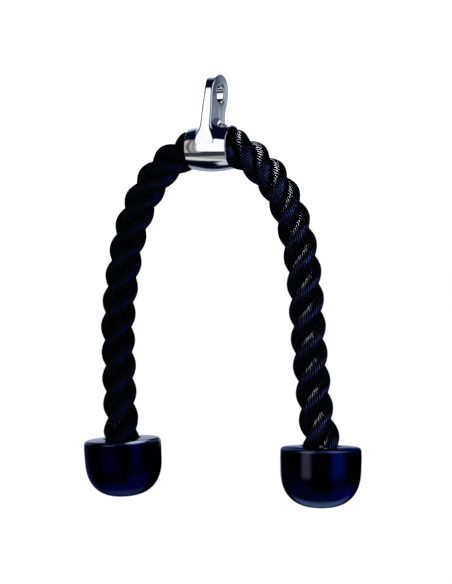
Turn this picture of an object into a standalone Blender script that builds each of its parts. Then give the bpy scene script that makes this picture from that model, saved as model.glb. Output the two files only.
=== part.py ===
# Triceps rope attachment for a cable machine: a chromed eye connector, a laid rope that runs
# through its barrel and hangs down as two arms, and a moulded dome cap on each rope end.
# Metres, +Z up. The origin is the centre of the eye hole, where the cable's hook holds the part.
# +X runs along the barrel, towards the right arm. +Y points away from the photographed side.
from math import asin, cos, pi, radians, sin, sqrt

import bmesh
import bpy
from mathutils import Vector

GAP = 0.0003

# Eye connector, one casting
EYE_TO_BARREL = 0.0455
EYE_LEAN = radians(6.5)
EYE_HOLE_RADIUS = 0.00825
EYE_HOLE_CHAMFER = 0.0008
EYE_PLATE_RADIUS = 0.0169
EYE_PLATE_HALF_THICKNESS = 0.00375
EYE_PLATE_ROUNDING = 0.0021
WEB_HALF_THICKNESS = 0.0043
WEB_FOOT_HALF_WIDTH = 0.0176
WEB_TAPER_FROM = 0.034
WEB_FILLET_RADIUS = 0.007
WEB_LOWEST_CUT = 0.008
WEB_STRIPS = 11
BARREL_LENGTH = 0.038
BARREL_MID_RADIUS = 0.0205
BARREL_RIM_RADIUS = 0.0184
BARREL_BORE_RADIUS = 0.0156
BARREL_MOUTH_RADIUS = 0.0170
BARREL_LIP_RADIUS = 0.0007

# Rope
ROPE_RADIUS = 0.015
ROPE_HELD_HALF = 0.011
ROPE_STUB = 0.004
ROPE_POINT_SPACING = 0.024
BEND_POINT_SPACING = 0.009

# End caps, with what holds each one on its rope end
CAP_RADIUS = 0.03365
CAP_BULGE = 0.0002
CAP_HEIGHT = 0.0512
CAP_EDGE_RADIUS = 0.0033
CAP_DOME_START = 0.0158
CAP_DOME_POWER = 2.55
CAP_BORE_RADIUS = 0.0163
CAP_BORE_DEPTH = 0.036
CAP_FLOOR = 0.0055
CAP_RECESS_RADIUS = 0.0092
SCREW_HOLE_RADIUS = 0.0043
SCREW_SHANK_RADIUS = 0.0035
SCREW_LENGTH = 0.032
SCREW_POINT = 0.006
SCREW_HEAD_RADIUS = 0.0065
SCREW_HEAD_HEIGHT = 0.004
WASHER_RADIUS = 0.0086
WASHER_THICKNESS = 0.0016
FERRULE_WALL = 0.0007
FERRULE_HEIGHT = 0.014
PLUG_THICKNESS = 0.0022

# The barrel's axis is below the eye and, because the connector leans, a little in front of it.
BARREL_Y = -EYE_TO_BARREL * sin(EYE_LEAN)
BARREL_Z = -EYE_TO_BARREL * cos(EYE_LEAN)

# Where each cap's top face meets the rope, how far the cap leans sideways, in the plane of the
# rope, and how far its lower end comes forward of that plane
LEFT_CAP_TOP = (-0.0876, -0.2969)
LEFT_CAP_LEAN = radians(3.6)
LEFT_CAP_TIP = radians(0)
RIGHT_CAP_TOP = (0.0978, -0.2943)
RIGHT_CAP_LEAN = radians(-0.9)
RIGHT_CAP_TIP = radians(3)

# The rope's route from the barrel to each cap: X and Z in the plane of the rope
LEFT_ROUTE = [
    (-0.019, -0.0461), (-0.030, -0.0502), (-0.0429, -0.0589), (-0.0575, -0.0749),
    (-0.0703, -0.0943), (-0.0795, -0.1184), (-0.0853, -0.145), (-0.0893, -0.172),
    (-0.0915, -0.200), (-0.0912, -0.228), (-0.0901, -0.256), (-0.0886, -0.278),
]
RIGHT_ROUTE = [
    (0.019, -0.0461), (0.030, -0.0506), (0.0420, -0.0602), (0.0551, -0.0747),
    (0.0665, -0.0938), (0.0750, -0.1154), (0.0809, -0.138), (0.0841, -0.163),
    (0.0863, -0.190), (0.0882, -0.218), (0.0909, -0.245), (0.0943, -0.272),
]
# The stretch from the barrel to this point of the route is where the rope flexes when an arm
# swings out, about a pivot in the middle of that bend.
BEND_END_INDEX = 3
LEFT_PIVOT = (-0.037, -0.0550)
RIGHT_PIVOT = (0.037, -0.0562)


def clear_scene():
    for thing in list(bpy.data.objects):
        bpy.data.objects.remove(thing)


def material(name, color, roughness, metallic):
    finish = bpy.data.materials.new(name)
    finish.use_nodes = True
    shader = finish.node_tree.nodes["Principled BSDF"]
    shader.inputs["Base Color"].default_value = (*color, 1)
    shader.inputs["Roughness"].default_value = roughness
    shader.inputs["Metallic"].default_value = metallic
    return finish


def link(name, data, finish, parent=None):
    thing = bpy.data.objects.new(name, data)
    thing.data.materials.append(finish)
    thing.parent = parent
    bpy.context.collection.objects.link(thing)
    return thing


def empty(name, location, rotation=(0, 0, 0), parent=None):
    marker = bpy.data.objects.new(name, None)
    marker.location = location
    marker.rotation_euler = rotation
    marker.parent = parent
    bpy.context.collection.objects.link(marker)
    return marker


def finished_mesh(name, bm, sharp_angle=35):
    """Weld the shape, point its faces outwards and shade its round sides smooth."""
    bmesh.ops.remove_doubles(bm, verts=bm.verts, dist=1e-6)
    bmesh.ops.recalc_face_normals(bm, faces=bm.faces)
    mesh = bpy.data.meshes.new(name)
    bm.to_mesh(mesh)
    bm.free()
    mesh.shade_smooth()
    mesh.set_sharp_from_angle(angle=radians(sharp_angle))
    return mesh


def revolved(name, profile, steps, axis="Z"):
    """Turn a profile of (radius, height) points round the axis. A closed shape starts and ends
    on the axis, and a ring repeats its first point at the end."""
    bm = bmesh.new()
    ring = profile[0] == profile[-1]
    points = profile[:-1] if ring else profile
    if axis == "X":
        verts = [bm.verts.new((height, 0, radius)) for radius, height in points]
    else:
        verts = [bm.verts.new((radius, 0, height)) for radius, height in points]
    pairs = list(zip(verts, verts[1:])) + ([(verts[-1], verts[0])] if ring else [])
    edges = [bm.edges.new(pair) for pair in pairs]
    turn = (1, 0, 0) if axis == "X" else (0, 0, 1)
    bmesh.ops.spin(
        bm, geom=verts + edges, cent=(0, 0, 0), axis=turn, angle=2 * pi, steps=steps, use_merge=True
    )
    return finished_mesh(name, bm)


def cutter(name, mesh, parent=None):
    tool = link(name, mesh, MATERIALS["cutter"], parent)
    tool.hide_render = True
    tool.display_type = "WIRE"
    return tool


def boolean(thing, operation, tool):
    modifier = thing.modifiers.new(tool.name, "BOOLEAN")
    modifier.operation = operation
    modifier.object = tool
    modifier.solver = "EXACT"


def arc(centre, radius, start, end, steps):
    """Points on an arc, from one angle to another, in degrees."""
    angles = [radians(start + (end - start) * i / steps) for i in range(steps + 1)]
    return [(centre[0] + radius * cos(a), centre[1] + radius * sin(a)) for a in angles]


# The barrel swells towards its middle, and its bore opens into a bell mouth at each end, so the
# rope bends over a rounded lip.
def barrel_mesh():
    half = BARREL_LENGTH / 2
    lip = BARREL_LIP_RADIUS
    outer, inner = [], []
    stations = 8
    for i in range(stations + 1):
        x = (half - lip) * i / stations
        swell = 1 - (x / (half - lip)) ** 2
        outer.append((BARREL_RIM_RADIUS + (BARREL_MID_RADIUS - BARREL_RIM_RADIUS) * swell, x))
        flare = max(0, x / (half - lip) - 0.45) / 0.55
        inner.append((BARREL_BORE_RADIUS + (BARREL_MOUTH_RADIUS - BARREL_BORE_RADIUS) * flare**2, x))
    rim_centre = ((BARREL_RIM_RADIUS + BARREL_MOUTH_RADIUS) / 2, half - lip)
    rim = arc(rim_centre, (BARREL_RIM_RADIUS - BARREL_MOUTH_RADIUS) / 2, 0, 180, 4)[1:-1]
    right = outer + rim + inner[::-1]
    left = [(radius, -x) for radius, x in right[::-1]][1:-1]
    profile = right + left
    return revolved("eye_connector", profile + [profile[0]], 72, axis="X")


def web_half_thickness(radius):
    """The plate's half thickness at a distance from the barrel's axis. It tapers thicker below
    the eye and ends in a round fillet on the barrel."""
    fillet_top = BARREL_MID_RADIUS + WEB_FILLET_RADIUS
    if radius >= WEB_TAPER_FROM:
        return EYE_PLATE_HALF_THICKNESS
    if radius >= fillet_top:
        share = (WEB_TAPER_FROM - radius) / (WEB_TAPER_FROM - fillet_top)
        return EYE_PLATE_HALF_THICKNESS + (WEB_HALF_THICKNESS - EYE_PLATE_HALF_THICKNESS) * share
    depth = min(fillet_top - radius, WEB_FILLET_RADIUS * 0.98)
    return WEB_HALF_THICKNESS + WEB_FILLET_RADIUS - sqrt(WEB_FILLET_RADIUS**2 - depth**2)


# The eye plate stands square to the barrel: a slab with a round top and rounded edges, cut into
# strips below the eye so that its foot can be drawn out into the fillet.
def eye_plate_mesh():
    foot = 0.005 - EYE_TO_BARREL
    sides = [
        (EYE_PLATE_RADIUS, -0.012),
        (EYE_PLATE_RADIUS + 0.0002, -0.020),
        (EYE_PLATE_RADIUS + 0.0005, -0.028),
        (WEB_FOOT_HALF_WIDTH, -0.036),
        (WEB_FOOT_HALF_WIDTH, foot),
    ]
    top = arc((0, 0), EYE_PLATE_RADIUS, 0, 180, 44)
    outline = [(y, z) for y, z in sides[::-1]] + top + [(-y, z) for y, z in sides]
    bm = bmesh.new()
    near = [bm.verts.new((-EYE_PLATE_HALF_THICKNESS, y, z)) for y, z in outline]
    face = bm.faces.new(near)
    grown = bmesh.ops.extrude_face_region(bm, geom=[face], use_keep_orig=True)
    far = [g for g in grown["geom"] if isinstance(g, bmesh.types.BMVert)]
    bmesh.ops.translate(bm, verts=far, vec=(2 * EYE_PLATE_HALF_THICKNESS, 0, 0))
    bmesh.ops.recalc_face_normals(bm, faces=bm.faces)
    rims = [e for e in bm.edges if abs(e.verts[0].co.x - e.verts[1].co.x) < 1e-6]
    bmesh.ops.bevel(
        bm, geom=rims, offset=EYE_PLATE_ROUNDING, offset_type="OFFSET", affect="EDGES",
        segments=4, profile=0.5, material=-1, clamp_overlap=True,
    )
    for i in range(WEB_STRIPS + 1):
        level = WEB_LOWEST_CUT + (WEB_TAPER_FROM - WEB_LOWEST_CUT) * i / WEB_STRIPS
        whole = bm.verts[:] + bm.edges[:] + bm.faces[:]
        place = (0, 0, level - EYE_TO_BARREL)
        bmesh.ops.bisect_plane(bm, geom=whole, dist=1e-7, plane_co=place, plane_no=(0, 0, 1))
    top_cut = WEB_TAPER_FROM - EYE_TO_BARREL + 1e-6
    for i in range(-3, 4):
        faces = [f for f in bm.faces if max(v.co.z for v in f.verts) < top_cut]
        parts = set(faces)
        for face in faces:
            parts.update(face.verts)
            parts.update(face.edges)
        place = (0, i * WEB_FOOT_HALF_WIDTH / 4, 0)
        bmesh.ops.bisect_plane(
            bm, geom=list(parts), dist=1e-7, plane_co=place, plane_no=(0, 1, 0)
        )
    for vert in bm.verts:
        radius = sqrt(vert.co.y**2 + (vert.co.z + EYE_TO_BARREL) ** 2)
        grown = web_half_thickness(radius) - EYE_PLATE_HALF_THICKNESS
        side = max(-1, min(1, vert.co.x / (EYE_PLATE_HALF_THICKNESS - EYE_PLATE_ROUNDING)))
        vert.co.x += side * grown
    drawn = [f for f in bm.faces if max(v.co.z for v in f.verts) < top_cut]
    bmesh.ops.triangulate(bm, faces=drawn)
    return finished_mesh("eye_plate", bm)


def eye_connector():
    frame = empty("connector_frame", (0, 0, 0), (-EYE_LEAN, 0, 0))
    connector = link("eye_connector", barrel_mesh(), MATERIALS["chrome"], frame)
    connector.location = (0, 0, -EYE_TO_BARREL)

    plate = cutter("eye_plate", eye_plate_mesh(), frame)
    wall = (BARREL_BORE_RADIUS + BARREL_MID_RADIUS) / 2 - 0.001
    reach = BARREL_LENGTH / 2
    clearance = [(0, -reach), (wall, -reach), (wall, reach), (0, reach)]
    hollow = cutter("plate_foot_hollow", revolved("plate_foot_hollow", clearance, 48, "X"), frame)
    hollow.location = connector.location
    boolean(plate, "DIFFERENCE", hollow)

    half = EYE_PLATE_HALF_THICKNESS
    chamfer = EYE_HOLE_CHAMFER
    flare = EYE_HOLE_RADIUS + chamfer + 0.002
    eye = [
        (0, -half - 0.002),
        (flare, -half - 0.002),
        (EYE_HOLE_RADIUS, -half + chamfer),
        (EYE_HOLE_RADIUS, half - chamfer),
        (flare, half + 0.002),
        (0, half + 0.002),
    ]
    hole = cutter("eye_hole", revolved("eye_hole", eye, 56, "X"), frame)
    boolean(connector, "UNION", plate)
    boolean(connector, "DIFFERENCE", hole)
    return connector


def smooth_route(points, step):
    """Points spaced by about a step on one smooth curve through the given ones."""
    ends = [2 * points[0] - points[1]] + points + [2 * points[-1] - points[-2]]
    fine = []
    for before, start, end, after in zip(ends, ends[1:], ends[2:], ends[3:]):
        for i in range(20):
            t = i / 20
            fine.append(
                0.5 * (
                    2 * start
                    + (end - before) * t
                    + (2 * before - 5 * start + 4 * end - after) * t**2
                    + (3 * start - before - 3 * end + after) * t**3
                )
            )
    fine.append(points[-1])
    lengths = [0.0]
    for here, there in zip(fine, fine[1:]):
        lengths.append(lengths[-1] + (there - here).length)
    count = max(1, round(lengths[-1] / step))
    chosen, k = [], 0
    for i in range(count + 1):
        target = lengths[-1] * i / count
        while k < len(fine) - 2 and lengths[k + 1] < target:
            k += 1
        share = (target - lengths[k]) / (lengths[k + 1] - lengths[k])
        chosen.append(fine[k].lerp(fine[k + 1], share))
    return chosen, lengths[-1]


# A rope stretch is a plain round tube. Each end has a short straight stub along the rope's
# direction there, so that the end faces of two stretches lie parallel, a small gap apart.
# Its origin is the joint that it turns on.
def rope_stretch(name, points, start_way, end_way, joint, joint_place):
    start = points[0] + start_way * GAP / 2
    end = points[-1] - end_way * GAP / 2
    inner = [p for p in points[1:-1]]
    line = [start, start + start_way * ROPE_STUB] + inner + [end - end_way * ROPE_STUB, end]
    curve = bpy.data.curves.new(name, "CURVE")
    curve.dimensions = "3D"
    curve.bevel_depth = ROPE_RADIUS
    curve.bevel_resolution = 4
    curve.use_fill_caps = True
    spline = curve.splines.new("POLY")
    spline.points.add(len(line) - 1)
    for point, place in zip(spline.points, line):
        point.co = (*(place - joint_place), 1)
    spline.use_smooth = True
    return link(name, curve, MATERIALS["rope"], joint)


def as_mesh(tube):
    """Turn a tube into a mesh under its own name, so that the screw's hole can be cut in it."""
    name, joint = tube.name, tube.parent
    shape = tube.evaluated_get(bpy.context.evaluated_depsgraph_get())
    bm = bmesh.new()
    bm.from_mesh(shape.to_mesh())
    bpy.data.objects.remove(tube)
    return link(name, finished_mesh(name, bm), MATERIALS["rope"], joint)


def cap_way(side, lean, tip):
    """The direction down through a cap, from its top to its dome."""
    outward = -1 if side == "left" else 1
    return Vector((-outward * sin(lean) * cos(tip), -sin(tip), -cos(lean) * cos(tip)))


def rope_arm(side, route, cap_top, down, turn, turn_place, swing, swing_place):
    """Make one arm's bend and hanging stretch. Return the hanging one, the place of the cap's
    top and the rope's length from its held part to its end."""
    outward = -1 if side == "left" else 1
    top = Vector((cap_top[0], BARREL_Y, cap_top[1]))
    axis_start = Vector((outward * ROPE_HELD_HALF, BARREL_Y, BARREL_Z))
    path = [axis_start] + [Vector((x, BARREL_Y, z)) for x, z in route]
    rope_end = top + down * (CAP_BORE_DEPTH - GAP)
    path += [top - down * 0.006, top + down * 0.008, rope_end]
    whole, length = smooth_route(path, 0.001)
    bend_end = path[BEND_END_INDEX + 1]
    cut = min(range(len(whole)), key=lambda i: (whole[i] - bend_end).length)
    across = Vector((outward, 0, 0))
    way = (whole[cut + 1] - whole[cut - 1]).normalized()
    bend, _ = smooth_route(whole[: cut + 1 : 3] + [whole[cut]], BEND_POINT_SPACING)
    hang, _ = smooth_route([whole[cut]] + whole[cut + 3 :: 3] + [rope_end], ROPE_POINT_SPACING)
    rope_stretch(side + "_rope_bend", bend, across, way, turn, turn_place)
    arm = rope_stretch(side + "_rope_arm", hang, way, down, swing, swing_place)
    return arm, top, length


def cap_profile():
    """Half section of the cap, from the top of the rope's bore round the outside and back."""
    edge = CAP_EDGE_RADIUS
    dome_depth = CAP_HEIGHT - CAP_DOME_START
    outside = [(CAP_BORE_RADIUS + 0.001, 0)]
    outside += arc((CAP_RADIUS - edge, -edge), edge, 90, 0, 5)
    middle = (CAP_DOME_START + edge) / 2
    outside += [(CAP_RADIUS + CAP_BULGE, -middle)]
    steps = 12
    for i in range(steps + 1):
        share = (i / steps) ** 0.85
        angle = share * asin(min(1, (1 - (CAP_RECESS_RADIUS / CAP_RADIUS) ** CAP_DOME_POWER) ** 0.5))
        radius = CAP_RADIUS * cos(angle) ** (2 / CAP_DOME_POWER)
        depth = dome_depth * sin(angle) ** (2 / CAP_DOME_POWER)
        outside.append((radius, -CAP_DOME_START - depth))
    recess = -(CAP_BORE_DEPTH + CAP_FLOOR)
    return outside + [
        (CAP_RECESS_RADIUS, recess),
        (SCREW_HOLE_RADIUS, recess),
        (SCREW_HOLE_RADIUS, -CAP_BORE_DEPTH),
        (CAP_BORE_RADIUS, -CAP_BORE_DEPTH),
        (CAP_BORE_RADIUS, -0.001),
        outside[0],
    ]


def end_cap(side, rope, top, down, swing, swing_place):
    stance = Vector((0, 0, -1)).rotation_difference(down).to_euler()
    frame = empty(side + "_cap_frame", top - swing_place, stance, swing)
    link(side + "_end_cap", revolved(side + "_end_cap", cap_profile(), 72), MATERIALS["cap"], frame)

    # A thin steel ferrule binds the strands at the rope's end.
    inner = ROPE_RADIUS + GAP
    outer = inner + FERRULE_WALL
    low = -(CAP_BORE_DEPTH - GAP)
    high = low + FERRULE_HEIGHT
    ring = [(inner, low), (outer, low), (outer, high), (inner, high), (inner, low)]
    ferrule = revolved(side + "_rope_ferrule", ring, 40)
    link(side + "_rope_ferrule", ferrule, MATERIALS["steel"], frame)

    # The screw goes up through the cap's floor into the heart of the rope, over a washer.
    seat = -(CAP_BORE_DEPTH + CAP_FLOOR) - GAP
    bearing = seat - WASHER_THICKNESS
    hole = SCREW_SHANK_RADIUS + GAP
    disc = [(hole, bearing), (WASHER_RADIUS, bearing), (WASHER_RADIUS, seat), (hole, seat), (hole, bearing)]
    link(side + "_cap_washer", revolved(side + "_cap_washer", disc, 32), MATERIALS["steel"], frame)

    under_head = bearing - GAP
    tip = under_head + SCREW_LENGTH
    head_low = under_head - SCREW_HEAD_HEIGHT
    screw = [
        (0, tip),
        (SCREW_SHANK_RADIUS, tip - SCREW_POINT),
        (SCREW_SHANK_RADIUS, under_head),
        (SCREW_HEAD_RADIUS, under_head),
        (SCREW_HEAD_RADIUS, head_low + 0.0012),
        (SCREW_HEAD_RADIUS - 0.0012, head_low),
        (0, head_low),
    ]
    link(side + "_cap_screw", revolved(side + "_cap_screw", screw, 24), MATERIALS["steel"], frame)
    pilot = [
        (0, tip + GAP),
        (hole, tip - SCREW_POINT + GAP),
        (hole, low - 0.005),
        (0, low - 0.005),
    ]
    drill = cutter(side + "_screw_pilot", revolved(side + "_screw_pilot", pilot, 24), frame)
    boolean(as_mesh(rope), "DIFFERENCE", drill)

    # A pressed-in plug closes the screw's recess and carries on the dome's shape.
    plug_radius = CAP_RECESS_RADIUS - GAP
    edge_depth = (1 - (plug_radius / CAP_RADIUS) ** CAP_DOME_POWER) ** (1 / CAP_DOME_POWER)
    edge_low = -CAP_DOME_START - (CAP_HEIGHT - CAP_DOME_START) * edge_depth
    plug_high = -CAP_HEIGHT + PLUG_THICKNESS
    plug = [
        (0, plug_high),
        (plug_radius, plug_high),
        (plug_radius, edge_low),
        (plug_radius * 0.6, -CAP_HEIGHT + 0.0002),
        (0, -CAP_HEIGHT),
    ]
    link(side + "_cap_plug", revolved(side + "_cap_plug", plug, 32), MATERIALS["cap"], frame)


clear_scene()
MATERIALS = {
    "chrome": material("bright_chrome_casting", (0.78, 0.79, 0.81), 0.08, 1.0),
    "rope": material("black_laid_rope", (0.012, 0.012, 0.018), 0.55, 0.0),
    "cap": material("black_moulded_plastic", (0.008, 0.008, 0.016), 0.22, 0.0),
    "steel": material("zinc_plated_steel", (0.6, 0.6, 0.58), 0.35, 1.0),
    "cutter": material("cutter", (0.8, 0.2, 0.1), 0.5, 0.0),
}

eye_connector()

# The rope turns in the barrel, and each arm swings sideways about its own pivot.
turn_place = Vector((0, BARREL_Y, BARREL_Z))
turn = empty("rope_turn_axis", turn_place)
half_held = Vector((ROPE_HELD_HALF, 0, 0))
along = Vector((1, 0, 0))
held = [turn_place - half_held, turn_place + half_held]
rope_stretch("rope_middle", held, along, along, turn, turn_place)
for side, route, pivot, cap_top, lean, tip in (
    ("left", LEFT_ROUTE, LEFT_PIVOT, LEFT_CAP_TOP, LEFT_CAP_LEAN, LEFT_CAP_TIP),
    ("right", RIGHT_ROUTE, RIGHT_PIVOT, RIGHT_CAP_TOP, RIGHT_CAP_LEAN, RIGHT_CAP_TIP),
):
    down = cap_way(side, lean, tip)
    swing_place = Vector((pivot[0], BARREL_Y, pivot[1]))
    swing = empty(side + "_swing_axis", swing_place - turn_place, parent=turn)
    arm, top, length = rope_arm(
        side, route, cap_top, down, turn, turn_place, swing, swing_place
    )
    end_cap(side, arm, top, down, swing, swing_place)
    print(side, "rope from the barrel's middle to its end:", round(length + ROPE_HELD_HALF, 4))
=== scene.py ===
import math

import bmesh
import bpy
import numpy as np
from mathutils import Matrix, Vector


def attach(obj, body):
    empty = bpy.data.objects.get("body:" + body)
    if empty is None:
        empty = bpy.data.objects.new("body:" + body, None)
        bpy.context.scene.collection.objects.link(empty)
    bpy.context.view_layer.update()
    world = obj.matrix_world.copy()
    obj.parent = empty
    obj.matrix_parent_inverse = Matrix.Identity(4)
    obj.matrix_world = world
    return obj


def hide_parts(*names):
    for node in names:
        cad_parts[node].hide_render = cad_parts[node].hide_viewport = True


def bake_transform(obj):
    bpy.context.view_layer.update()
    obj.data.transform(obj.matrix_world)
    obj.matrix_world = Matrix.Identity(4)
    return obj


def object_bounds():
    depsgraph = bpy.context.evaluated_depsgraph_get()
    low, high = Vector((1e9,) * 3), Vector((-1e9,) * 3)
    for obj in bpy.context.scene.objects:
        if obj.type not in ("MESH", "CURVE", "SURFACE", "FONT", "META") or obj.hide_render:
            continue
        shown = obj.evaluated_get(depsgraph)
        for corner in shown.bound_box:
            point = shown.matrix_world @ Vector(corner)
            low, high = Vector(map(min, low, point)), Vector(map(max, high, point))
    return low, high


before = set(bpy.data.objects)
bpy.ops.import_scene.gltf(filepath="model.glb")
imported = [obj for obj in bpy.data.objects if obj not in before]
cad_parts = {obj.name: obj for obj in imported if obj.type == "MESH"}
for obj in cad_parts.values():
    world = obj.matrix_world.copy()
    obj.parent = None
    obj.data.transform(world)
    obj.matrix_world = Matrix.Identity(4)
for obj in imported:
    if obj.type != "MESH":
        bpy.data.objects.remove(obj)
cad_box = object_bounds()

# The photograph is taken from a little to the right of the front, at the height of the rope's
# arms, with a long lens, so the arms hang almost parallel in the picture.
VIEW_AZIMUTH = math.radians(24.0)
VIEW_ELEVATION = math.radians(1.6)
CAMERA_DISTANCE = 1.3
CAMERA_RIGHT = 0.00884
CAMERA_DOWN = 0.1679
FOCAL_PIXELS = 1529.0
PICTURE_HEIGHT = 584

towards = Vector((
    math.sin(VIEW_AZIMUTH) * math.cos(VIEW_ELEVATION),
    -math.cos(VIEW_AZIMUTH) * math.cos(VIEW_ELEVATION),
    math.sin(VIEW_ELEVATION),
))
right = Vector((math.cos(VIEW_AZIMUTH), math.sin(VIEW_AZIMUTH), 0))
up = towards.cross(right)
camera_data = bpy.data.cameras.new("photo_camera")
camera_data.sensor_fit = "VERTICAL"
camera_data.sensor_height = 24.0
camera_data.lens = camera_data.sensor_height * FOCAL_PIXELS / PICTURE_HEIGHT
camera_data.clip_start = 0.05
camera = bpy.data.objects.new("photo_camera", camera_data)
camera.location = towards * CAMERA_DISTANCE + right * CAMERA_RIGHT - up * CAMERA_DOWN
camera.rotation_euler = Matrix((right, up, towards)).transposed().to_euler()
bpy.context.scene.collection.objects.link(camera)
bpy.context.scene.camera = camera


# The rope is 30 mm black multifilament rope, three strands laid up right-handed. It runs through
# the barrel and hangs down as two arms, with each end held in a cap. Each strand is one tube with
# its yarns as ridges, which lie the other way, so on the rope's surface they run along it.
SIDES = {"left": -1, "right": 1}
ROPE_DIAMETER = 0.030
ROPE_LAY = 0.068
STRAND_RADIUS = 0.0083
STRAND_OFFSET = ROPE_DIAMETER / 2 - STRAND_RADIUS
STRAND_GAP = 0.00012
YARNS = 25
POINTS_PER_YARN = 5
YARN_RELIEF = (-0.00050, -0.00016, -0.00001, -0.00001, -0.00016)
YARN_SIZES = (0.7, 1.3)
YARN_LIFT = 0.00005
RING_SPACING = 0.0018
STEPS_BETWEEN_POINTS = 40
LEFT_TURN = math.radians(-57.6)
EXTRA_TURN = math.radians(41.7)
EXTRA_TURN_WAY = (-0.025, 0.115)
MOUTH_SWELL = 0.10
MOUTH_SWELL_PLACE = 0.022
MOUTH_SWELL_REACH = 0.009
CAP_SWELL = 0.06
CAP_SWELL_PLACE = 0.005
CAP_SWELL_REACH = 0.007
BARREL_PLACE = Vector((0, -0.005151, -0.045208))
BARREL_HALF_LENGTH = 0.019
BARREL_HALF_GRIP = 0.011
CAP_TOPS = {"left": (-0.0876, -0.2969), "right": (0.0978, -0.2943)}
CAP_LEANS = {"left": math.radians(3.6), "right": math.radians(-0.9)}
CAP_TIPS = {"left": 0.0, "right": math.radians(3)}
ROPE_IN_CAP = 0.0357
ROPE_ABOVE_CAP_TOP = 0.006
ROPE_BELOW_CAP_TOP = 0.008
ROUTES = {
    "left": [
        (-0.019, -0.0467), (-0.030, -0.0508), (-0.0433, -0.0584), (-0.0582, -0.0744),
        (-0.0703, -0.0943), (-0.0795, -0.1184), (-0.0853, -0.145), (-0.0893, -0.172),
        (-0.0915, -0.200), (-0.0907, -0.228), (-0.0901, -0.256), (-0.0886, -0.278),
    ],
    "right": [
        (0.019, -0.0463), (0.030, -0.0511), (0.0417, -0.0604), (0.0555, -0.0743),
        (0.0670, -0.0936), (0.0750, -0.1154), (0.0804, -0.138), (0.0836, -0.163),
        (0.0858, -0.190), (0.0878, -0.218), (0.0908, -0.245), (0.0940, -0.272),
    ],
}


def cap_frame(side):
    """The middle of a cap's top face, and the direction down through the cap."""
    lean, tip = CAP_LEANS[side], CAP_TIPS[side]
    top = Vector((CAP_TOPS[side][0], BARREL_PLACE.y, CAP_TOPS[side][1]))
    sideways = -SIDES[side] * math.sin(lean) * math.cos(tip)
    return top, Vector((sideways, -math.sin(tip), -math.cos(lean) * math.cos(tip)))


def arm_points(side):
    """The route of one arm, from the barrel's grip to the rope's end in the cap."""
    top, down = cap_frame(side)
    start = BARREL_PLACE + Vector((SIDES[side] * BARREL_HALF_GRIP, 0, 0))
    middle = [Vector((x, BARREL_PLACE.y, z)) for x, z in ROUTES[side]]
    depths = (-ROPE_ABOVE_CAP_TOP, ROPE_BELOW_CAP_TOP, ROPE_IN_CAP)
    return [start] + middle + [top + down * depth for depth in depths]


def smooth_line(points):
    """Fine points on one smooth curve through the given ones."""
    ends = [2 * points[0] - points[1]] + points + [2 * points[-1] - points[-2]]
    fine = []
    for before, start, end, after in zip(ends, ends[1:], ends[2:], ends[3:]):
        for i in range(STEPS_BETWEEN_POINTS):
            t = i / STEPS_BETWEEN_POINTS
            fine.append(0.5 * (
                2 * start
                + (end - before) * t
                + (2 * before - 5 * start + 4 * end - after) * t**2
                + (3 * start - before - 3 * end + after) * t**3
            ))
    fine.append(points[-1])
    return np.array(fine)


whole_rope = smooth_line(arm_points("left")[::-1] + arm_points("right"))
rope_way = np.concatenate([[0], np.cumsum(np.linalg.norm(np.diff(whole_rope, axis=0), axis=1))])
in_barrel = np.abs(whole_rope[:, 0]) < BARREL_HALF_GRIP
rope_way -= np.interp(0, whole_rope[in_barrel, 0], rope_way[in_barrel])


def rope_place(way):
    """Points of the rope's axis at these distances along it, counted from the barrel's middle."""
    return np.stack([np.interp(way, rope_way, whole_rope[:, k]) for k in range(3)], 1)


def rope_turn(way):
    """How far the strands have turned round the rope's axis."""
    begin, end = EXTRA_TURN_WAY
    share = np.clip((way - begin) / (end - begin), 0, 1)
    return 2 * np.pi * way / ROPE_LAY + LEFT_TURN + EXTRA_TURN * share**2 * (3 - 2 * share)


def bulge(distance, place, reach):
    """A smooth rise from 0 to 1 and back, at a place and over a reach along the rope."""
    return np.exp(-(((distance - place) / reach) ** 2))


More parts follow.
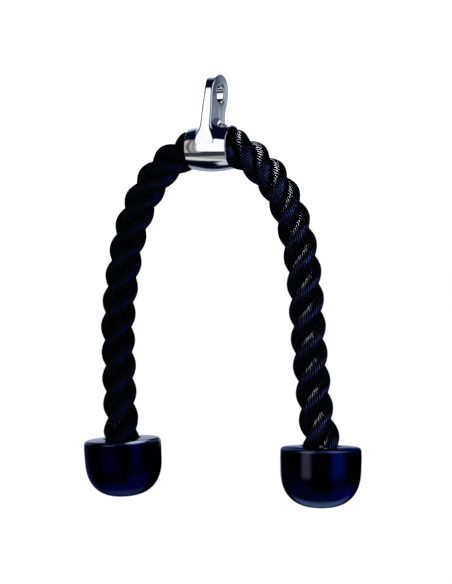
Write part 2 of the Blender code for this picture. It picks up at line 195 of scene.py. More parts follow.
def laid_rope(name, way_end):
    """One half of the rope as a mesh of three strands, and the line that it follows."""
    rings = round(abs(way_end) / RING_SPACING)
    way = np.linspace(0, way_end, rings + 1)
    place = rope_place(way)
    step = 0.001
    tangent = rope_place(way + step) - rope_place(way - step)
    tangent /= np.linalg.norm(tangent, axis=1)[:, None]
    side_axis = np.array([0.0, 1.0, 0.0])
    normal = np.cross(side_axis, tangent)
    above_cap = abs(way_end) - ROPE_IN_CAP - np.abs(way)
    swell = 1 + MOUTH_SWELL * bulge(np.abs(way), MOUTH_SWELL_PLACE, MOUTH_SWELL_REACH)
    swell += CAP_SWELL * bulge(above_cap, CAP_SWELL_PLACE, CAP_SWELL_REACH)
    turn = rope_turn(way)
    count = YARNS * POINTS_PER_YARN
    yarn_rate = -STRAND_OFFSET / STRAND_RADIUS
    chance = np.random.default_rng(7)
    bm = bmesh.new()
    yarns = bm.loops.layers.uv.new("yarns")
    order = bm.faces.layers.int.new("order")
    for strand in range(3):
        yarn_size = chance.uniform(*YARN_SIZES, YARNS)
        yarn_lift = chance.uniform(-YARN_LIFT, YARN_LIFT, YARNS)
        relief = np.array(YARN_RELIEF)[None, :] * yarn_size[:, None] + yarn_lift[:, None]
        radius = STRAND_RADIUS + relief.reshape(-1)
        start = 2 * np.pi * np.arange(count) / count
        centre = turn + 2 * np.pi * strand / 3
        angle = start[None, :] + (yarn_rate * turn)[:, None]

        # Where a strand meets its neighbours it is squeezed flat against a wall between them.
        local = (angle - centre[:, None] + np.pi) % (2 * np.pi) - np.pi
        lean = np.sin(np.abs(local) - np.pi / 3)
        wall = STRAND_OFFSET * math.sin(math.pi / 3) - STRAND_GAP
        reach = np.where(lean > 1e-3, np.minimum(radius, wall / np.maximum(lean, 1e-3)), radius)
        across = STRAND_OFFSET * np.cos(centre)[:, None] + reach * np.cos(angle)
        over = STRAND_OFFSET * np.sin(centre)[:, None] + reach * np.sin(angle)
        across *= swell[:, None]
        over *= swell[:, None]
        tube = (
            place[:, None, :]
            + across[:, :, None] * normal[:, None, :]
            + over[:, :, None] * side_axis[None, None, :]
        )

        # The strand starts as a flat grid, one side round the tube and the other along it.
        grid = bmesh.ops.create_grid(bm, x_segments=count, y_segments=rings, size=1.0)["verts"]
        for k, vert in enumerate(grid):
            row, column = divmod(k, count + 1)
            vert.co = tube[row, column % count]
            for loop in vert.link_loops:
                loop[yarns].uv = (strand + column / count, abs(way[row]) / STRAND_RADIUS)
        bm.faces.new(grid[:count][::-1])
        bm.faces.new(grid[-count - 1:-1])

    # Closing the seams makes some faces anew, so all are then put back in order along the strands.
    for number, face in enumerate(bm.faces):
        face[order] = number
    bmesh.ops.remove_doubles(bm, verts=bm.verts, dist=1e-7)
    bm.faces.sort(key=lambda face: face[order])
    bm.faces.layers.int.remove(order)
    bmesh.ops.recalc_face_normals(bm, faces=bm.faces)
    mesh = bpy.data.meshes.new(name)
    bm.to_mesh(mesh)
    bm.free()
    mesh.shade_smooth()
    rope = bpy.data.objects.new(name, mesh)
    bpy.context.scene.collection.objects.link(rope)
    return rope, place


def linear(colour):
    """A hex sRGB colour as the linear numbers that a shader takes."""
    parts = [int(colour[i:i + 2], 16) / 255 for i in (1, 3, 5)]
    return (*[p / 12.92 if p <= 0.04045 else ((p + 0.055) / 1.055) ** 2.4 for p in parts], 1)


def add(tree, kind, inputs=(), **settings):
    """Add a node, set it and its inputs. An input is a value or another node's output."""
    node = tree.nodes.new(kind)
    for name, value in settings.items():
        setattr(node, name, value)
    for name, value in dict(inputs).items():
        if isinstance(value, bpy.types.NodeSocket):
            tree.links.new(value, node.inputs[name])
        else:
            node.inputs[name].default_value = value
    return node


# Multifilament yarn, dyed in the melt: near black with a faint navy cast. The filaments lie along
# each yarn, so it shines in short streaks on its crown, and the grooves between yarns stay dark.
# Real filaments are too fine to show: here they are 0.3 mm apart. Along the rope, the shade
# changes about every 24 mm and the filaments every 6 mm.
TONES_PER_RADIUS = 0.35
FILAMENTS_PER_YARN = 7
FILAMENTS_PER_RADIUS = 1.3
FILAMENT_HEIGHT = 0.00015
rope_material = bpy.data.materials.new("black_multifilament_rope")
rope_material.use_nodes = True
tree = rope_material.node_tree
shader = tree.nodes["Principled BSDF"]
coords = add(tree, "ShaderNodeUVMap", uv_map="yarns")
yarn_rows = add(
    tree, "ShaderNodeMapping", {"Vector": coords.outputs[0], "Scale": (YARNS, TONES_PER_RADIUS, 1)}
)
shade = add(
    tree, "ShaderNodeTexNoise",
    {"Vector": yarn_rows.outputs[0], "Scale": 1.0, "Detail": 2.0}, noise_dimensions="2D",
)
tone = add(tree, "ShaderNodeValToRGB", {"Fac": shade.outputs[0]})
tone.color_ramp.elements[0].position = 0.3
tone.color_ramp.elements[0].color = linear("#020204")
tone.color_ramp.elements[1].position = 0.75
tone.color_ramp.elements[1].color = linear("#06070D")
tree.links.new(tone.outputs[0], shader.inputs["Base Color"])
filament_rows = add(
    tree, "ShaderNodeMapping",
    {"Vector": coords.outputs[0],
     "Scale": (YARNS * FILAMENTS_PER_YARN, FILAMENTS_PER_RADIUS, 1)},
)
filaments = add(
    tree, "ShaderNodeTexNoise",
    {"Vector": filament_rows.outputs[0], "Scale": 1.0, "Detail": 1.0}, noise_dimensions="2D",
)
bump = add(
    tree, "ShaderNodeBump",
    {"Height": filaments.outputs[0], "Strength": 0.2, "Distance": FILAMENT_HEIGHT},
)
tree.links.new(bump.outputs[0], shader.inputs["Normal"])
across = add(tree, "ShaderNodeSeparateXYZ", {"Vector": coords.outputs[0]})
yarn_phase = add(
    tree, "ShaderNodeMath", {0: across.outputs[0], 1: 2 * math.pi * YARNS}, operation="MULTIPLY"
)
groove = add(tree, "ShaderNodeMath", {0: yarn_phase.outputs[0]}, operation="COSINE")
shine = add(
    tree, "ShaderNodeMapRange",
    {"Value": groove.outputs[0], "From Min": -0.2, "From Max": -0.95,
     "To Min": 0.0, "To Max": 1.0},
)
tree.links.new(shine.outputs[0], shader.inputs["Specular IOR Level"])
tangent = add(tree, "ShaderNodeTangent", direction_type="UV_MAP", uv_map="yarns")
tree.links.new(tangent.outputs[0], shader.inputs["Tangent"])
shader.inputs["Anisotropic"].default_value = 0.8
shader.inputs["Roughness"].default_value = 0.24
shader.inputs["IOR"].default_value = 1.5

ROPE_ENDS = {"left": rope_way[0], "right": rope_way[-1]}
for side, outward in SIDES.items():
    rope, line = laid_rope(side + "_laid_rope", ROPE_ENDS[side])
    rope.data.materials.append(rope_material)
    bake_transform(rope)
    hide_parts(side + "_rope_bend", side + "_rope_arm")
    if side == "left":
        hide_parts("rope_middle")


# The eye connector is one steel casting, ground smooth and chrome plated: a thick plate with a
# round top, which flows through a fillet into a short barrel that swells in the middle. A rough
# barrel, ring and web are fused into one skin, which is then drawn onto the exact form.
EYE_TO_BARREL = 0.0455
EYE_LEAN = math.radians(6.5)
EYE_HOLE_RADIUS = 0.00825
EYE_HOLE_ROUNDING = 0.0011
EYE_HOLE_BACK = 0.0011
RING_RADIUS = 0.0173
RING_BACK = 0.0016
RING_UP = 0.0004
RING_LEAN = 0.10
WEB_FRONT_SLOPE = 0.106
WEB_BACK = 0.0142
FOOT_HALF_WIDTH = 0.0193
PLATE_HALF_THICKNESS = 0.00375
PLATE_ROUNDING = 0.0017
TOP_ROUNDING = 0.0008
FOOT_ROUNDING = 0.0003
PLATE_CROWN = 0.0004
CROWN_LIMIT = 1.1
TOP_THICKER = 0.0005
WEB_THICKER = 0.0004
FILLET_RADIUS = 0.0048
BARREL_MID_RADIUS = 0.0205
BARREL_RIM_RADIUS = 0.0184
BORE_RADIUS = 0.0156
MOUTH_RADIUS = 0.0170
LIP_RADIUS = 0.0007
MOUTH_START = 0.45
CASTING_VOXEL = 0.00042

# Where the plate changes from one section to the next, as distances above or below the eye's
# middle. The thicker side of the web is given as distances forward of it.
RING_TO_WAIST = (0.0, 0.014)
WAIST_TO_FOOT = (0.024, 0.041)
FRONT_FLATTENS = (0.0, 0.012)
CROWN_GROWS = (0.004, 0.014)
TOP_THICKENS = (0.004, 0.012)
WEB_THICKENS = (0.010, 0.028)
WEB_THICK_SIDE = (-0.002, 0.002)
TOP_SHARPENS = (0.005, 0.012)
FOOT_SHARPENS = (0.030, 0.037)


def round_join(a, b, radius):
    """The distance to two solids fused with a round fillet, from the distances to each."""
    reach_a, reach_b = np.maximum(radius - a, 0), np.maximum(radius - b, 0)
    return np.maximum(radius, np.minimum(a, b)) - np.hypot(reach_a, reach_b)


def round_meet(a, b, radius):
    """The distance to what two solids share, with the edge between them rounded."""
    reach_a, reach_b = np.maximum(radius + a, 0), np.maximum(radius + b, 0)
    return np.minimum(-radius, np.maximum(a, b)) + np.hypot(reach_a, reach_b)


def ease(value, start, end):
    """A smooth rise from 0 to 1 as a value goes from start to end."""
    share = np.clip((value - start) / (end - start), 0, 1)
    return share**2 * (3 - 2 * share)


def casting(place):
    """How far points are outside the casting's surface. Here it stands upright, eye at the top."""
    x, y, z = np.abs(place[:, 0]), place[:, 1], place[:, 2]
    from_axis = np.hypot(y, z + EYE_TO_BARREL)
    along = x / (BARREL_HALF_LENGTH - LIP_RADIUS)
    outer = BARREL_RIM_RADIUS + (BARREL_MID_RADIUS - BARREL_RIM_RADIUS) * (1 - along**2)
    barrel = round_meet(from_axis - outer, x - BARREL_HALF_LENGTH, LIP_RADIUS)
    front = RING_RADIUS - RING_BACK + WEB_FRONT_SLOPE * np.maximum(-z, 0)
    ring_back = RING_RADIUS + RING_BACK
    back = ring_back + (WEB_BACK - ring_back) * ease(-z, *RING_TO_WAIST)
    back = back + (FOOT_HALF_WIDTH - back) * ease(-z, *WAIST_TO_FOOT)
    ring_middle = RING_BACK + RING_LEAN * np.maximum(z - RING_UP, 0)
    ring = np.hypot(y - ring_middle, z - RING_UP) - RING_RADIUS
    outline = np.where(z > RING_UP, ring, np.maximum(-y - front, y - back))
    beside = np.where(y > 0, y, -y * (1 - ease(-z, *FRONT_FLATTENS)))
    from_middle = np.where(z > 0, np.hypot(y, z), beside) / RING_RADIUS
    crown = PLATE_CROWN * (1 + ease(-z, *CROWN_GROWS))
    crown = crown * (1 - np.minimum(from_middle, CROWN_LIMIT) ** 3)
    half = PLATE_HALF_THICKNESS + TOP_THICKER * ease(z, *TOP_THICKENS)
    half = half + WEB_THICKER * ease(-z, *WEB_THICKENS) * ease(-y, *WEB_THICK_SIDE)
    slab = round_join(barrel, x - half - crown, FILLET_RADIUS)
    rim = PLATE_ROUNDING + (TOP_ROUNDING - PLATE_ROUNDING) * ease(z, *TOP_SHARPENS)
    rim = rim + (FOOT_ROUNDING - rim) * ease(-z, *FOOT_SHARPENS)
    plate = round_meet(outline, slab, rim)
    body = np.minimum(barrel, np.maximum(plate, -EYE_TO_BARREL - z))
    mouth = np.maximum(along - MOUTH_START, 0) / (1 - MOUTH_START)
    bore = BORE_RADIUS + (MOUTH_RADIUS - BORE_RADIUS) * mouth**2
    body = round_meet(body, bore - from_axis, LIP_RADIUS)
    hole = EYE_HOLE_RADIUS - np.hypot(y - EYE_HOLE_BACK, z)
    return round_meet(body, hole, EYE_HOLE_ROUNDING)


def turned(bm, profile, steps, axis, closed=True):
    """Turn a line of points all the way round an axis, and return every point that it makes."""
    earlier = set(bm.verts)
    verts = [bm.verts.new(point) for point in profile]
    pairs = list(zip(verts, verts[1:] + verts[:1]))
    edges = [bm.edges.new(pair) for pair in (pairs if closed else pairs[:-1])]
    bmesh.ops.spin(
        bm, geom=verts + edges, cent=(0, 0, 0), axis=axis, angle=2 * math.pi, steps=steps,
        use_merge=True,
    )
    return [vert for vert in bm.verts if vert not in earlier]


# The rough form is a little short of the exact one at the barrel's mouths. The web below the eye
# and the cheeks before and behind it are given as outlines seen from the side, forward first.
ROUGH_STEPS = 64
ROUGH_HALF_LENGTH = BARREL_HALF_LENGTH - 0.0002
ROUGH_MOUTH_RADIUS = BORE_RADIUS + 0.0008
WEB_OUTLINE = [
    (-0.0164, -0.0095), (-0.0190, -0.0335), (-0.0198, -0.0400), (-0.0160, -0.0400),
    (-0.0125, -0.0325), (0, -0.0285), (0.0125, -0.0325), (0.0160, -0.0400),
    (0.0190, -0.0400), (0.0148, -0.0270), (0.0148, -0.0095),
]
FRONT_CHEEK = [(-0.0153, 0.0016), (-0.0164, -0.0100), (-0.0095, -0.0100), (-0.0095, 0.0016)]
BACK_CHEEK = [(0.0105, 0.0016), (0.0105, -0.0100), (0.0152, -0.0100), (0.0174, 0.0016)]

rough_bm = bmesh.new()
wall = [
    (-ROUGH_HALF_LENGTH, 0, ROUGH_MOUTH_RADIUS),
    (-ROUGH_HALF_LENGTH, 0, BARREL_RIM_RADIUS),
    (0, 0, BARREL_MID_RADIUS),
    (ROUGH_HALF_LENGTH, 0, BARREL_RIM_RADIUS),
    (ROUGH_HALF_LENGTH, 0, ROUGH_MOUTH_RADIUS),
    (0, 0, BORE_RADIUS),
]
barrel_verts = turned(rough_bm, wall, ROUGH_STEPS, (1, 0, 0))
bmesh.ops.translate(rough_bm, verts=barrel_verts, vec=(0, 0, -EYE_TO_BARREL))
half = PLATE_HALF_THICKNESS
eye = [
    (-half, 0, EYE_HOLE_RADIUS), (-half, 0, RING_RADIUS),
    (half, 0, RING_RADIUS), (half, 0, EYE_HOLE_RADIUS),
]
ring_verts = turned(rough_bm, eye, ROUGH_STEPS, (1, 0, 0))
bmesh.ops.translate(rough_bm, verts=ring_verts, vec=(0, RING_BACK, RING_UP))
for outline in (WEB_OUTLINE, FRONT_CHEEK, BACK_CHEEK):
    corners = [rough_bm.verts.new((-half, y, z)) for y, z in outline]
    face = rough_bm.faces.new(corners)
    other = bmesh.ops.extrude_face_region(rough_bm, geom=[face], use_keep_orig=True)["geom"]
    moved = [part for part in other if isinstance(part, bmesh.types.BMVert)]
    bmesh.ops.translate(rough_bm, verts=moved, vec=(2 * half, 0, 0))
bmesh.ops.recalc_face_normals(rough_bm, faces=rough_bm.faces)
rough_mesh = bpy.data.meshes.new("rough_casting")
rough_bm.to_mesh(rough_mesh)
rough_bm.free()
rough = bpy.data.objects.new("rough_casting", rough_mesh)
bpy.context.scene.collection.objects.link(rough)
fuse = rough.modifiers.new("fuse", "REMESH")
fuse.mode = "VOXEL"
fuse.voxel_size = CASTING_VOXEL
depsgraph = bpy.context.evaluated_depsgraph_get()
skin = bpy.data.meshes.new_from_object(rough.evaluated_get(depsgraph))
bpy.data.objects.remove(rough)

places = np.empty(len(skin.vertices) * 3)
skin.vertices.foreach_get("co", places)
places = places.reshape(-1, 3)


def steepness(place):
    """The way out of the casting's surface at each point."""
    nudge = 2e-6
    steps = np.eye(3) * nudge
    return np.stack(
        [(casting(place + step) - casting(place - step)) / (2 * nudge) for step in steps], 1
    )


# Each pass moves every point of the skin straight towards the casting's surface.
PASSES = 14
LONGEST_MOVE = 0.0006
LEAST_SLOPE = 0.5
for _ in range(PASSES):
    slope = steepness(places)
    move = casting(places) / np.maximum((slope**2).sum(1), LEAST_SLOPE**2)
    move = np.clip(move, -LONGEST_MOVE, LONGEST_MOVE)
    places -= move[:, None] * slope
outward_way = steepness(places)
lean_turn = np.array(Matrix.Rotation(-EYE_LEAN, 3, "X"))
skin.vertices.foreach_set("co", (places @ lean_turn.T).ravel())
skin.shade_smooth()
skin.normals_split_custom_set_from_vertices(
    (outward_way / np.linalg.norm(outward_way, axis=1)[:, None]) @ lean_turn.T
)
skin.update()
connector = bpy.data.objects.new("chromed_connector", skin)
bpy.context.scene.collection.objects.link(connector)

# Bright chrome over a polished casting: a clear, slightly cool mirror. The polishing leaves the
# metal faintly wavy, about 7 mm from wave to wave, so the bands that it mirrors have soft,
# unsteady edges. Handling leaves smears about 18 mm across that dull it a little.
WAVES_PER_METRE = 140.0
WAVE_HEIGHT = 0.00006
SMEARS_PER_METRE = 55.0
chrome = bpy.data.materials.new("polished_chrome_plate")
chrome.use_nodes = True
tree = chrome.node_tree
shader = tree.nodes["Principled BSDF"]
coords = add(tree, "ShaderNodeTexCoord")
waves = add(
    tree, "ShaderNodeTexNoise",
    {"Vector": coords.outputs["Object"], "Scale": WAVES_PER_METRE, "Detail": 1.5,
     "Roughness": 0.4},
)
waviness = add(
    tree, "ShaderNodeBump",
    {"Height": waves.outputs[0], "Strength": 1.0, "Distance": WAVE_HEIGHT},
)
tree.links.new(waviness.outputs[0], shader.inputs["Normal"])
smears = add(
    tree, "ShaderNodeTexNoise",
    {"Vector": coords.outputs["Object"], "Scale": SMEARS_PER_METRE, "Detail": 4.0,
     "Roughness": 0.6},
)
polish = add(
    tree, "ShaderNodeMapRange",
    {"Value": smears.outputs[0], "From Min": 0.35, "From Max": 0.75,
     "To Min": 0.035, "To Max": 0.09},
)
tree.links.new(polish.outputs[0], shader.inputs["Roughness"])
shader.inputs["Base Color"].default_value = linear("#E6E8EC")
shader.inputs["Metallic"].default_value = 1.0
skin.materials.clear()
skin.materials.append(chrome)
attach(connector, "connector")
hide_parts("eye_connector")


# Each end cap is moulded in glossy black plastic over the rope's end: a flat top with a rounded
# edge, nearly straight sides and a deep dome. A pressed-in plug closes the screw's recess.
CAP_RADIUS = 0.03365
CAP_BULGE = 0.0002
CAP_HEIGHT = 0.0506
CAP_EDGE_RADIUS = 0.0033
CAP_EDGE_START = 86
CAP_LIP_RADIUS = 0.001
CAP_TOP_CROWN = 0.0005
CAP_DOME_START = 0.0158
CAP_DOME_POWER = 2.55
CAP_BORE_RADIUS = 0.0163
CAP_BORE_DEPTH = 0.036
CAP_FLOOR = 0.0055
CAP_RECESS_RADIUS = 0.0092
SCREW_HOLE_RADIUS = 0.0043
PLUG_THICKNESS = 0.0022
PLUG_GAP = 0.0003
PLUG_HEART = 0.0004
CAP_STEPS = 128
PLUG_STEPS = 64


def arc(centre, radius, start, end, steps):
    """Points of an arc in the cap's half section, as (radius, height)."""
    angles = [math.radians(start + (end - start) * i / steps) for i in range(steps + 1)]
    return [(centre[0] + radius * math.cos(a), centre[1] + radius * math.sin(a)) for a in angles]


def dome_height(radius):
    """How high the dome's surface lies at this distance from the cap's axis."""
    depth = (1 - (radius / CAP_RADIUS) ** CAP_DOME_POWER) ** (1 / CAP_DOME_POWER)
    return -CAP_DOME_START - (CAP_HEIGHT - CAP_DOME_START) * depth


def dome(inner_radius, outer_radius, steps):
    """Points down the dome's curve, from its wide edge inwards."""
    widest = math.acos(min(1, (outer_radius / CAP_RADIUS) ** (CAP_DOME_POWER / 2)))
    lowest = math.acos((inner_radius / CAP_RADIUS) ** (CAP_DOME_POWER / 2))
    radii = [
        CAP_RADIUS * math.cos(widest + (lowest - widest) * (i / steps)) ** (2 / CAP_DOME_POWER)
        for i in range(steps + 1)
    ]
    return [(radius, dome_height(radius)) for radius in radii]


def moulded(name, side, section, steps):
    """Turn a half section round the cap's axis, and set it in the cap's place.

    A section that starts on the axis ends there too. Any other is a closed ring.
    """
    bm = bmesh.new()
    profile = [(radius, 0, height) for radius, height in section]
    turned(bm, profile, steps, (0, 0, 1), closed=section[0][0] > 0)
    bmesh.ops.remove_doubles(bm, verts=bm.verts, dist=1e-7)
    bmesh.ops.recalc_face_normals(bm, faces=bm.faces)
    top, down = cap_frame(side)
    tilt = Vector((0, 0, -1)).rotation_difference(down).to_matrix().to_4x4()
    bmesh.ops.transform(bm, matrix=Matrix.Translation(top) @ tilt, verts=bm.verts)
    mesh = bpy.data.meshes.new(name)
    bm.to_mesh(mesh)
    bm.free()
    mesh.shade_smooth()
    mesh.set_sharp_from_angle(angle=math.radians(40))
    piece = bpy.data.objects.new(name, mesh)
    bpy.context.scene.collection.objects.link(piece)
    return piece


# The cap's section runs from the lip of its bore over the top face, the rounded edge, the side
# and the dome to the screw's recess, and back up the bore.
top_start = CAP_BORE_RADIUS + CAP_LIP_RADIUS
top_end = CAP_RADIUS - CAP_EDGE_RADIUS
side_start = -CAP_EDGE_RADIUS - CAP_TOP_CROWN
shares = [i / 6 for i in range(1, 6)]
cap_section = arc((top_start, -CAP_LIP_RADIUS), CAP_LIP_RADIUS, 180, 90, 5)
for share in shares:
    cap_section.append((top_start + (top_end - top_start) * share, -CAP_TOP_CROWN * share**2))
cap_section += arc((top_end, side_start), CAP_EDGE_RADIUS, CAP_EDGE_START, 0, 12)
for share in shares:
    level = side_start - (CAP_DOME_START + side_start) * share
    cap_section.append((CAP_RADIUS + CAP_BULGE * math.sin(math.pi * share), level))
cap_section += dome(CAP_RECESS_RADIUS, CAP_RADIUS, 40)
recess = -(CAP_BORE_DEPTH + CAP_FLOOR)
cap_section += [
    (CAP_RECESS_RADIUS, recess),
    (SCREW_HOLE_RADIUS, recess),
    (SCREW_HOLE_RADIUS, -CAP_BORE_DEPTH),
    (CAP_BORE_RADIUS, -CAP_BORE_DEPTH),
]
plug_radius = CAP_RECESS_RADIUS - PLUG_GAP
plug_section = [(0, PLUG_THICKNESS - CAP_HEIGHT), (plug_radius, PLUG_THICKNESS - CAP_HEIGHT)]
plug_section += dome(PLUG_HEART, plug_radius, 10) + [(0, -CAP_HEIGHT)]

# Black ABS from a polished mould, with a faint blue cast: a clear gloss over near black. The thick
# moulding has sunk slightly as it cooled, about 11 mm from hollow to hollow, and rubbing has left
# duller patches about 17 mm across.
SINKS_PER_METRE = 90.0
SINK_DEPTH = 0.00005
RUBS_PER_METRE = 60.0
cap_plastic = bpy.data.materials.new("gloss_black_moulded_abs")
cap_plastic.use_nodes = True
tree = cap_plastic.node_tree
shader = tree.nodes["Principled BSDF"]
coords = add(tree, "ShaderNodeTexCoord")
sink = add(
    tree, "ShaderNodeTexNoise",
    {"Vector": coords.outputs["Object"], "Scale": SINKS_PER_METRE, "Detail": 1.0,
     "Roughness": 0.4},
)
unevenness = add(
    tree, "ShaderNodeBump",
    {"Height": sink.outputs[0], "Strength": 1.0, "Distance": SINK_DEPTH},
)
tree.links.new(unevenness.outputs[0], shader.inputs["Normal"])
rubbed = add(
    tree, "ShaderNodeTexNoise",
    {"Vector": coords.outputs["Object"], "Scale": RUBS_PER_METRE, "Detail": 5.0,
     "Roughness": 0.65},
)
gloss = add(
    tree, "ShaderNodeMapRange",
    {"Value": rubbed.outputs[0], "From Min": 0.35, "From Max": 0.75,
     "To Min": 0.07, "To Max": 0.17},
)
tree.links.new(gloss.outputs[0], shader.inputs["Roughness"])
shader.inputs["Base Color"].default_value = linear("#010104")
shader.inputs["IOR"].default_value = 1.53

for side in SIDES:
    cap = moulded(side + "_moulded_cap", side, cap_section, CAP_STEPS)
    cap.data.materials.append(cap_plastic)
    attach(cap, side + "_arm")
    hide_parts(side + "_end_cap")
    plug = moulded(side + "_recess_plug", side, plug_section, PLUG_STEPS)
    plug.data.materials.append(cap_plastic)
    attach(plug, side + "_arm")
    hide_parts(side + "_cap_plug")


# The ferrule, screw and washer in each cap are plain CAD solids of the right form, so they stay as
# they are. All three are steel with bright zinc plate: a cool pale grey, with a faint spangle of
# about 1 mm, and duller where they have been handled, in patches of about 4 mm.
SPANGLES_PER_METRE = 900.0
HANDLING_PER_METRE = 250.0
zinc = bpy.data.materials.new("zinc_plated_steel")
zinc.use_nodes = True
tree = zinc.node_tree
shader = tree.nodes["Principled BSDF"]
coords = add(tree, "ShaderNodeTexCoord")
crystals = add(
    tree, "ShaderNodeTexVoronoi",
    {"Vector": coords.outputs["Object"], "Scale": SPANGLES_PER_METRE}, distance="EUCLIDEAN",
)
spangle = add(tree, "ShaderNodeValToRGB", {"Fac": crystals.outputs["Distance"]})
spangle.color_ramp.elements[0].color = linear("#A4A9B0")
spangle.color_ramp.elements[1].color = linear("#C6CBD0")
tree.links.new(spangle.outputs[0], shader.inputs["Base Color"])
handling = add(
    tree, "ShaderNodeTexNoise",
    {"Vector": coords.outputs["Object"], "Scale": HANDLING_PER_METRE, "Detail": 4.0,
     "Roughness": 0.6},
)
dulling = add(
    tree, "ShaderNodeMapRange",
    {"Value": handling.outputs[0], "From Min": 0.3, "From Max": 0.7,
     "To Min": 0.24, "To Max": 0.42},
)
tree.links.new(dulling.outputs[0], shader.inputs["Roughness"])
shader.inputs["Metallic"].default_value = 1.0
FASTENINGS = ("rope_ferrule", "cap_screw", "cap_washer")
for side in SIDES:
    for fastening in FASTENINGS:
        solid = bpy.data.objects[side + "_" + fastening]
        solid.data.materials.clear()
        solid.data.materials.append(zinc)


# The floor is one wide sheet of matt white board, well below the caps, so it fades evenly into the
# background. Nothing stands on it.
FLOOR_DROP = 0.10
FLOOR_HALF_WIDTH = 30.0
floor_bm = bmesh.new()
bmesh.ops.create_grid(floor_bm, x_segments=1, y_segments=1, size=FLOOR_HALF_WIDTH)
floor_z = cad_box[0][2] - FLOOR_DROP
bmesh.ops.translate(floor_bm, verts=floor_bm.verts, vec=(0, 0, floor_z))
floor_mesh = bpy.data.meshes.new("floor")
floor_bm.to_mesh(floor_mesh)
floor_bm.free()
floor = bpy.data.objects.new("floor", floor_mesh)
bpy.context.scene.collection.objects.link(floor)
floor_material = bpy.data.materials.new("matt_white_board")
floor_material.use_nodes = True
floor_shader = floor_material.node_tree.nodes["Principled BSDF"]
floor_shader.inputs["Base Color"].default_value = linear("#F4F4F5")
floor_shader.inputs["Roughness"].default_value = 0.9
floor_mesh.materials.append(floor_material)
floor.visible_glossy = False

# The studio: even white light all round for matt surfaces. What each polished or glossy piece
# mirrors is set apart, as soft panels on a wide shell that only that piece sees, because a real
# softbox stands close and each piece mirrors it from its own place.
SURROUND = 1.25
SHELL_RADII = {
    "connector": 15.0, "left_cap": 16.0, "right_cap": 17.0, "left_rope": 18.0, "right_rope": 19.0,
}

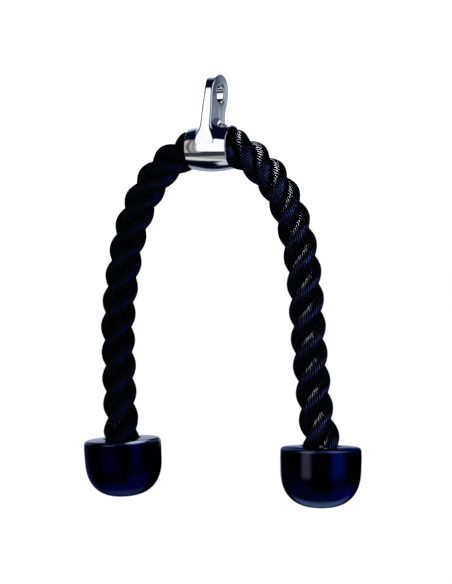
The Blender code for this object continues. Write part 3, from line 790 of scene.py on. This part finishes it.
# Each panel covers a stretch of azimuth, in degrees from the front towards the right, and of
# elevation. Then come how soft its edges are, how far it leans in degrees of elevation for one of
# azimuth, its colour and its strength. A later panel stands in front of an earlier one.
PANELS = {
    "connector": [
        ((-180, 180), (-120, 120), 1, 0, "#060A20", 1.0),
        ((-112, -80), (34, 60), 9, 0, "#5F6E86", 0.9),
        ((-150, -108), (22, 62), 10, 0, "#C4CEDC", 1.0),
        ((-100, 12), (-62, 10), 4, -0.6, "#A8ADA6", 0.9),
        ((-100, 12), (-62, -46), 5, -0.6, "#E4E8E0", 1.0),
        ((-100, 12), (-39, -20), 3, -0.2, "#3C3C42", 0.9),
        ((-100, 12), (-22, 60), 3, -0.2, "#060A20", 1.0),
        ((4, 62), (-28, 34), 6, 0, "#6C6676", 0.9),
        ((-56, -32), (-22, 28), 3, -0.2, "#A09A98", 0.9),
        ((-56, -50), (-20, 26), 1, -0.2, "#D8D4D6", 0.95),
        ((-48, -45), (-20, 26), 1, -0.2, "#6A6468", 0.9),
        ((-43, -41), (-14, 20), 1, -0.2, "#CFC8CA", 0.9),
        ((-35, 6), (-22, 36), 3, -0.2, "#FFFFFF", 1.2),
        ((62, 112), (-45, 45), 5, 0, "#D4D4E4", 1.3),
        ((98, 122), (0, 30), 5, 0, "#C4C8D6", 1.0),
        ((135, 172), (-8, 60), 5, 0, "#4A586C", 0.9),
        ((156, 182), (-40, 8), 4, 0, "#B4BDCD", 0.9),
        ((176, 232), (9, 57), 5, 0, "#FFFFFF", 1.2),
        ((165, 235), (-46, -10), 6, 0, "#AEB9C6", 0.85),
        ((-180, 180), (-120, -75), 4, 0, "#DDE3EA", 0.9),
    ],
    "right_rope": [
        ((-180, 180), (-120, 120), 1, 0, "#020206", 1.0),
        ((-60, 120), (-14, 16), 8, 0, "#38427A", 5.4),
        ((52, 93), (-14, 20), 8, 0, "#5866BE", 8.0),
        ((-130, -20), (44, 80), 9, 0, "#E8ECFF", 15.0),
    ],
    "left_rope": [
        ((-180, 180), (-120, 120), 1, 0, "#020206", 1.0),
        ((-60, 120), (-14, 16), 8, 0, "#1C2050", 3.0),
        ((40, 100), (-24, 16), 10, 0, "#1C30B0", 2.6),
    ],
    "right_cap": [
        ((85, 275), (2, 84), 10, 0, "#101C78", 1.0),
        ((-150, -100), (10, 66), 8, 0, "#8CA0D8", 0.9),
        ((-180, 180), (-120, -56), 18, 0, "#0A2A9C", 0.95),
        ((70, 165), (-66, -30), 14, 0, "#0410A8", 1.6),
        ((-95, -20), (-60, -24), 18, 0, "#041560", 1.7),
        ((-60, 130), (22, 80), 12, 0, "#3450A0", 4.0),
        ((-33, -9), (-14, 46), 6, 0, "#CBC0FF", 1.0),
        ((-40, -4), (10, 60), 6, 0, "#D8DCFF", 2.6),
        ((56, 89), (-15, 30), 11, 0, "#1838FF", 1.5),
        ((52, 102), (26, 66), 9, 0, "#ACB8FF", 3.6),
        ((150, 250), (-80, -42), 10, 0, "#7FA4F4", 1.2),
        ((184, 226), (-13, 1), 2, 0, "#B8C8F4", 1.0),
    ],
    "left_cap": [
        ((-180, 180), (-120, -56), 18, 0, "#0A12C0", 0.9),
        ((50, 122), (-76, -26), 16, 0, "#0410A8", 1.3),
        ((-60, 130), (22, 80), 12, 0, "#22388A", 3.0),
        ((-165, -100), (-40, 10), 8, 0, "#2C2C68", 1.0),
        ((-36, 8), (-24, -2), 12, 0, "#0A0A90", 0.7),
        ((-34, -2), (7, 26), 4, 0, "#E8E4F4", 1.8),
        ((54, 82), (-10, 30), 11, 0, "#1020FF", 0.6),
        ((40, 102), (40, 85), 8, 0, "#BCCCFF", 7.0),
        ((60, 200), (44, 86), 7, 0, "#C4D4FF", 16.0),
        ((120, 176), (8, 60), 12, 0, "#8FA4E8", 0.6),
        ((-150, -95), (4, 40), 12, 0, "#8C9EEC", 0.6),
        ((150, 250), (-80, -50), 10, 0, "#5F84E8", 0.6),
        ((168, 238), (-4, 12), 3, 0, "#CBD6F2", 0.85),
    ],
}
studio = bpy.data.worlds.new("studio")
studio.use_nodes = True
tree = studio.node_tree
tree.nodes.clear()
ray = add(tree, "ShaderNodeLightPath")
plain = add(tree, "ShaderNodeBackground", {"Color": (1, 1, 1, 1), "Strength": SURROUND})
dim = add(tree, "ShaderNodeBackground", {"Color": linear("#020206"), "Strength": 1.0})
mixed = add(tree, "ShaderNodeMixShader", {0: ray.outputs["Is Glossy Ray"]})
tree.links.new(plain.outputs[0], mixed.inputs[1])
tree.links.new(dim.outputs[0], mixed.inputs[2])
out = add(tree, "ShaderNodeOutputWorld")
tree.links.new(mixed.outputs[0], out.inputs[0])
studio.cycles.sampling_method = "NONE"
bpy.context.scene.world = studio
bpy.context.scene.view_settings.view_transform = "Standard"


def band(tree, angle, low, high, soft):
    """How far inside a band of angles a direction lies, from 0 to 1 over the soft edge."""
    middle, half = math.radians((low + high) / 2), math.radians((high - low) / 2)
    shifted = add(tree, "ShaderNodeMath", {0: angle, 1: middle}, operation="SUBTRACT")
    wrapped = add(
        tree, "ShaderNodeMath", {0: shifted.outputs[0], 1: math.pi, 2: -math.pi}, operation="WRAP"
    )
    off = add(tree, "ShaderNodeMath", {0: wrapped.outputs[0]}, operation="ABSOLUTE")
    edge = math.radians(soft)
    inside = add(
        tree, "ShaderNodeMapRange",
        {"Value": off.outputs[0], "From Min": half - edge, "From Max": half + edge,
         "To Min": 1.0, "To Max": 0.0},
        interpolation_type="SMOOTHSTEP",
    )
    return inside.outputs[0]


def shell(name, radius, receivers, panels):
    """A wide shell of light that only the receivers mirror, with its soft panels."""
    bm = bmesh.new()
    bmesh.ops.create_icosphere(bm, subdivisions=4, radius=radius)
    bmesh.ops.reverse_faces(bm, faces=bm.faces)
    mesh = bpy.data.meshes.new(name)
    bm.to_mesh(mesh)
    bm.free()
    panels_material = bpy.data.materials.new(name)
    panels_material.use_nodes = True
    tree = panels_material.node_tree
    tree.nodes.clear()
    coords = add(tree, "ShaderNodeTexCoord")
    way = add(
        tree, "ShaderNodeVectorMath", {0: coords.outputs["Object"]}, operation="NORMALIZE"
    )
    parts = add(tree, "ShaderNodeSeparateXYZ", {"Vector": way.outputs[0]})
    front = add(tree, "ShaderNodeMath", {0: parts.outputs[1], 1: -1.0}, operation="MULTIPLY")
    azimuth = add(
        tree, "ShaderNodeMath", {0: parts.outputs[0], 1: front.outputs[0]}, operation="ARCTAN2"
    )
    height = add(tree, "ShaderNodeMath", {0: parts.outputs[2]}, operation="ARCSINE")
    seen = (0, 0, 0, 1)
    for (a0, a1), (e0, e1), soft, slant, colour, strength in panels:
        middle = math.radians((a0 + a1) / 2)
        from_middle = add(
            tree, "ShaderNodeMath", {0: azimuth.outputs[0], 1: middle}, operation="SUBTRACT"
        )
        level = add(
            tree, "ShaderNodeMath",
            {0: from_middle.outputs[0], 1: -slant, 2: height.outputs[0]}, operation="MULTIPLY_ADD",
        )
        covered = band(tree, level.outputs[0], e0, e1, soft)
        if a1 - a0 < 360:
            beside = band(tree, azimuth.outputs[0], a0, a1, soft)
            both_ways = add(tree, "ShaderNodeMath", {0: beside, 1: covered}, operation="MULTIPLY")
            covered = both_ways.outputs[0]
        bright = (*[part * strength for part in linear(colour)[:3]], 1)
        mix = add(tree, "ShaderNodeMix", {0: covered, 6: seen, 7: bright}, data_type="RGBA")
        seen = mix.outputs[2]
    glow = add(tree, "ShaderNodeEmission", {"Color": seen, "Strength": 1.0})
    clear = add(tree, "ShaderNodeBsdfTransparent")
    both = add(tree, "ShaderNodeAddShader", {0: glow.outputs[0], 1: clear.outputs[0]})
    add(tree, "ShaderNodeOutputMaterial", {"Surface": both.outputs[0]})
    panels_material.cycles.emission_sampling = "NONE"
    mesh.materials.append(panels_material)
    light = bpy.data.objects.new(name, mesh)
    bpy.context.scene.collection.objects.link(light)
    light.visible_camera = False
    light.visible_diffuse = False
    light.visible_transmission = False
    light.visible_volume_scatter = False
    light.visible_shadow = False
    lit = bpy.data.collections.new(name + "_receivers")
    for piece in receivers:
        lit.objects.link(piece)
    light.light_linking.receiver_collection = lit


mirroring = {"connector": [connector]}
for side in SIDES:
    end_names = ("moulded_cap", "recess_plug") + FASTENINGS
    mirroring[side + "_cap"] = [bpy.data.objects[side + "_" + name] for name in end_names]
    mirroring[side + "_rope"] = [bpy.data.objects[side + "_laid_rope"]]
for name, pieces in mirroring.items():
    shell("studio_for_" + name, SHELL_RADII[name], pieces, PANELS[name])
